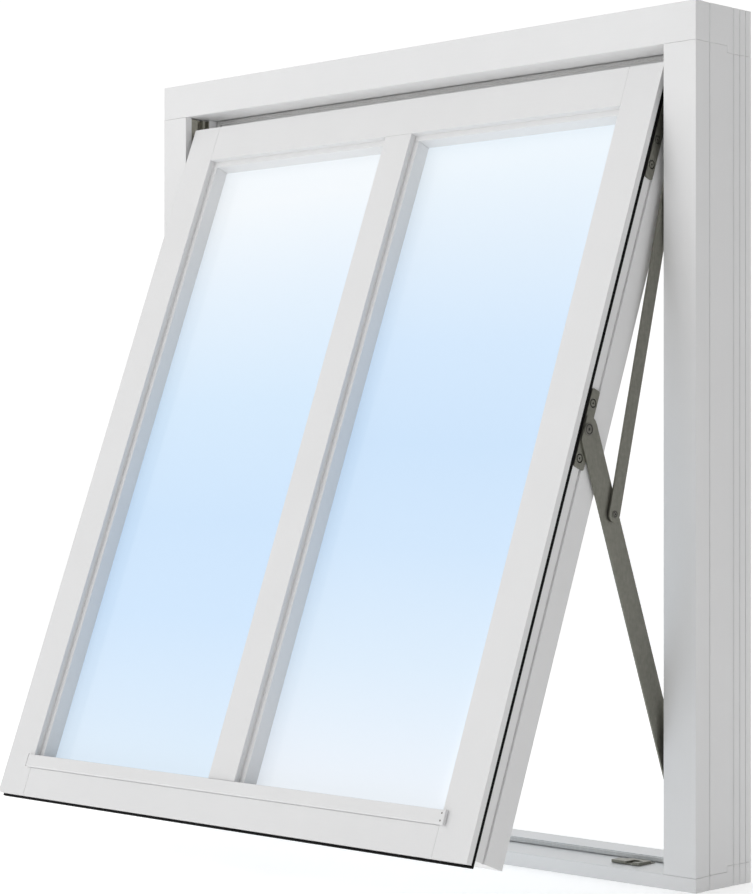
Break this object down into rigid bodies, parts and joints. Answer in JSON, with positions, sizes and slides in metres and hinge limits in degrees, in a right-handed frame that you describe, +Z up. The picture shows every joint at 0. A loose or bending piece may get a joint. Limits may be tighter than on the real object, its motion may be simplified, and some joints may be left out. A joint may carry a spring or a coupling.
{
  "type": "top-guided window",
  "caption": "White timber window frame with a glazed outward-opening sash on steel stay arms, guided at its top.",
  "frame": {"origin": "centre of the sill's underside", "axes": "+Z up the window, -Y to the outside, +X along the sill to the right seen from outside"},
  "size_m": [1.088, 0.5052, 1.188],
  "materials": {
    "white_paint": "white paint on timber, satin",
    "stay_steel": "zinc-plated, dull grey-beige",
    "track_steel": "zinc-plated, lighter",
    "seal_rubber": "matt black",
    "pale_seal": "matt, pale grey",
    "clear_glass": "clear float glass with a pale blue reflection",
    "spacer_bar": "mill",
    "shoe_nylon": "moulded",
    "handle_metal": "satin"
  },
  "bodies": {
    "frame": {"frame_head": "white_paint", "frame_sill": "white_paint", "frame_jamb_left": "white_paint", "frame_jamb_right": "white_paint", "track_left": "track_steel", "track_right": "track_steel", "striker_left": "stay_steel", "striker_right": "stay_steel", "link_anchor_left": "stay_steel", "link_anchor_right": "stay_steel", "stop_gasket": "pale_seal"},
    "sash": {"sash_stile_left": "white_paint", "sash_stile_right": "white_paint", "sash_top_rail": "white_paint", "sash_bottom_rail": "white_paint", "sash_mid_bar": "white_paint", "outer_bead": "white_paint", "bead_cap_left": "white_paint", "bead_cap_right": "white_paint", "weather_seal_left": "seal_rubber", "weather_seal_right": "seal_rubber", "weather_seal_bottom": "seal_rubber", "outer_pane_left": "clear_glass", "inner_pane_left": "clear_glass", "spacer_left": "spacer_bar", "mid_plate_left": "stay_steel", "top_plate_left": "stay_steel", "outer_pane_right": "clear_glass", "inner_pane_right": "clear_glass", "spacer_right": "spacer_bar", "mid_plate_right": "stay_steel", "top_plate_right": "stay_steel", "inner_bead_left_bar": "white_paint", "inner_bead_left_stile": "white_paint", "inner_bead_left_top": "white_paint", "inner_bead_left_foot": "white_paint", "inner_bead_right_bar": "white_paint", "inner_bead_right_stile": "white_paint", "inner_bead_right_top": "white_paint", "inner_bead_right_foot": "white_paint", "lock_case": "stay_steel", "handle_rosette": "handle_metal"},
    "handle": {"handle_lever": "handle_metal"},
    "upper_link_left": {"link_left": "stay_steel", "link_rivet_left": "stay_steel"},
    "main_arm_left": {"arm_left": "stay_steel", "sash_rivet_left": "stay_steel"},
    "track_shoe_left": {"slider_left": "shoe_nylon"},
    "guide_shoe_body_left": {"guide_shoe_left": "shoe_nylon"},
    "locking_rod_left": {"lock_rod_left": "stay_steel"},
    "upper_link_right": {"link_right": "stay_steel", "link_rivet_right": "stay_steel"},
    "main_arm_right": {"arm_right": "stay_steel", "sash_rivet_right": "stay_steel"},
    "track_shoe_right": {"slider_right": "shoe_nylon"},
    "guide_shoe_body_right": {"guide_shoe_right": "shoe_nylon"},
    "locking_rod_right": {"lock_rod_right": "stay_steel"}
  },
  "joints": [
    {"name": "upper_link_right_swing", "type": "hinge", "parent": "frame", "child": "upper_link_right", "pos_m": [0.485, -0.0257, 1.033], "axis": [-1, 0, 0], "range_deg": [-14.59, 4.21]},
    {"name": "main_arm_right_swing", "type": "hinge", "parent": "upper_link_right", "child": "main_arm_right", "pos_m": [0.485, -0.16322, 0.50471], "axis": [-1, 0, 0], "range_deg": [-10.51, 35.69]},
    {"name": "sash_swing", "type": "hinge", "parent": "main_arm_right", "child": "sash", "pos_m": [0.485, -0.21168, 0.61595], "axis": [-1, 0, 0], "range_deg": [-41.9, 12.3]},
    {"name": "upper_link_left_swing", "type": "hinge", "parent": "frame", "child": "upper_link_left", "pos_m": [-0.485, -0.0257, 1.033], "axis": [-1, 0, 0], "range_deg": [-14.89, 4.51]},
    {"name": "main_arm_left_swing", "type": "hinge", "parent": "upper_link_left", "child": "main_arm_left", "pos_m": [-0.485, -0.16322, 0.50471], "axis": [-1, 0, 0], "range_deg": [-10.51, 35.69]},
    {"name": "track_shoe_left_turn", "type": "hinge", "parent": "main_arm_left", "child": "track_shoe_left", "pos_m": [-0.485, -0.0315, 0.14162], "axis": [-1, 0, 0], "range_deg": [-21.1, 6.3]},
    {"name": "guide_shoe_left_turn", "type": "hinge", "parent": "sash", "child": "guide_shoe_body_left", "pos_m": [-0.485, -0.0315, 1.09028], "axis": [-1, 0, 0], "range_deg": [-6.3, 21.1]},
    {"name": "track_shoe_right_turn", "type": "hinge", "parent": "main_arm_right", "child": "track_shoe_right", "pos_m": [0.485, -0.0315, 0.14162], "axis": [-1, 0, 0], "range_deg": [-21.1, 6.3]},
    {"name": "guide_shoe_right_turn", "type": "hinge", "parent": "sash", "child": "guide_shoe_body_right", "pos_m": [0.485, -0.0315, 1.09028], "axis": [-1, 0, 0], "range_deg": [-6.3, 21.1]},
    {"name": "handle_turn", "type": "hinge", "parent": "sash", "child": "handle", "pos_m": [0, -0.36794, 0.07647], "axis": [0, 0.9348, -0.3551], "range_deg": [0, 90]},
    {"name": "locking_rod_left_slide", "type": "slide", "parent": "sash", "child": "locking_rod_left", "axis": [-1, 0, 0], "range_m": [-0.0003, 0.0105]},
    {"name": "locking_rod_right_slide", "type": "slide", "parent": "sash", "child": "locking_rod_right", "axis": [1, 0, 0], "range_m": [-0.0003, 0.0105]}
  ],
  "couplings": [
    {"joint": "main_arm_right_swing", "follows": "upper_link_right_swing", "ratio": -2.4255},
    {"joint": "sash_swing", "follows": "upper_link_right_swing", "ratio": 2.8511},
    {"joint": "upper_link_left_swing", "follows": "upper_link_right_swing", "ratio": 1},
    {"joint": "main_arm_left_swing", "follows": "upper_link_right_swing", "ratio": -2.4255},
    {"joint": "track_shoe_left_turn", "follows": "upper_link_right_swing", "ratio": 1.4256},
    {"joint": "guide_shoe_left_turn", "follows": "upper_link_right_swing", "ratio": -1.4256},
    {"joint": "track_shoe_right_turn", "follows": "upper_link_right_swing", "ratio": 1.4256},
    {"joint": "guide_shoe_right_turn", "follows": "upper_link_right_swing", "ratio": -1.4256},
    {"joint": "locking_rod_left_slide", "follows": "handle_turn", "m_per_rad": 0.0063662},
    {"joint": "locking_rod_right_slide", "follows": "handle_turn", "m_per_rad": 0.0063662}
  ]
}
